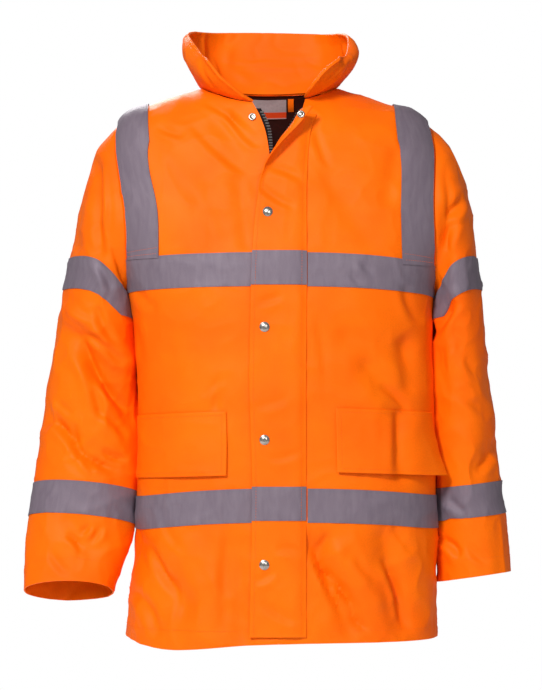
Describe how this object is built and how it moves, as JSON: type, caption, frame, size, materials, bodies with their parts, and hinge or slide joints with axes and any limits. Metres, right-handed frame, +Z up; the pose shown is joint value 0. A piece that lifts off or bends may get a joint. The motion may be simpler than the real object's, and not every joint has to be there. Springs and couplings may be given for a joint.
{
  "type": "hi-vis work jacket",
  "caption": "Hollow high-visibility work jacket with tall open collar, storm flap, pocket flaps and reflective tape round body, shoulders and sleeves.",
  "frame": {"origin": "the middle of the neck seam, where the jacket rests on its wearer's shoulders", "axes": "+X to the wearer's left, +Y to the back, +Z up"},
  "size_m": [0.74, 0.2936, 0.9414],
  "materials": {
    "shell_cloth": "coated woven polyester, hi-vis orange",
    "reflective_tape": "retroreflective tape, silver grey",
    "zip": "black woven zip tape with moulded teeth",
    "stud": "nickel-plated press studs",
    "lining": "dark lining taffeta",
    "label": "blank woven label"
  },
  "bodies": {
    "root": {"front_right": "shell_cloth", "front_left": "shell_cloth", "back": "shell_cloth", "sleeve_right_front": "shell_cloth", "sleeve_right_back": "shell_cloth", "sleeve_left_front": "shell_cloth", "sleeve_left_back": "shell_cloth", "collar": "shell_cloth", "storm_flap": "shell_cloth", "pocket_flap_right": "shell_cloth", "pocket_flap_left": "shell_cloth", "chest_tape_front_right": "reflective_tape", "chest_tape_front_left": "reflective_tape", "chest_tape_back": "reflective_tape", "waist_tape_front_right": "reflective_tape", "waist_tape_front_left": "reflective_tape", "waist_tape_back": "reflective_tape", "chest_tape_flap": "reflective_tape", "waist_tape_flap": "reflective_tape", "brace_tape_front_right": "reflective_tape", "brace_tape_front_left": "reflective_tape", "brace_tape_back_right": "reflective_tape", "brace_tape_back_left": "reflective_tape", "sleeve_tape_upper_right": "reflective_tape", "sleeve_tape_lower_right": "reflective_tape", "sleeve_tape_upper_left": "reflective_tape", "sleeve_tape_lower_left": "reflective_tape", "zip_right": "zip", "zip_left": "zip", "stud_cap_1": "stud", "stud_cap_2": "stud", "stud_cap_3": "stud", "stud_cap_4": "stud", "ring_snap_right": "stud", "ring_snap_left": "stud", "back_lining": "lining", "neck_label": "label", "hanging_loop": "shell_cloth"}
  },
  "joints": []
}
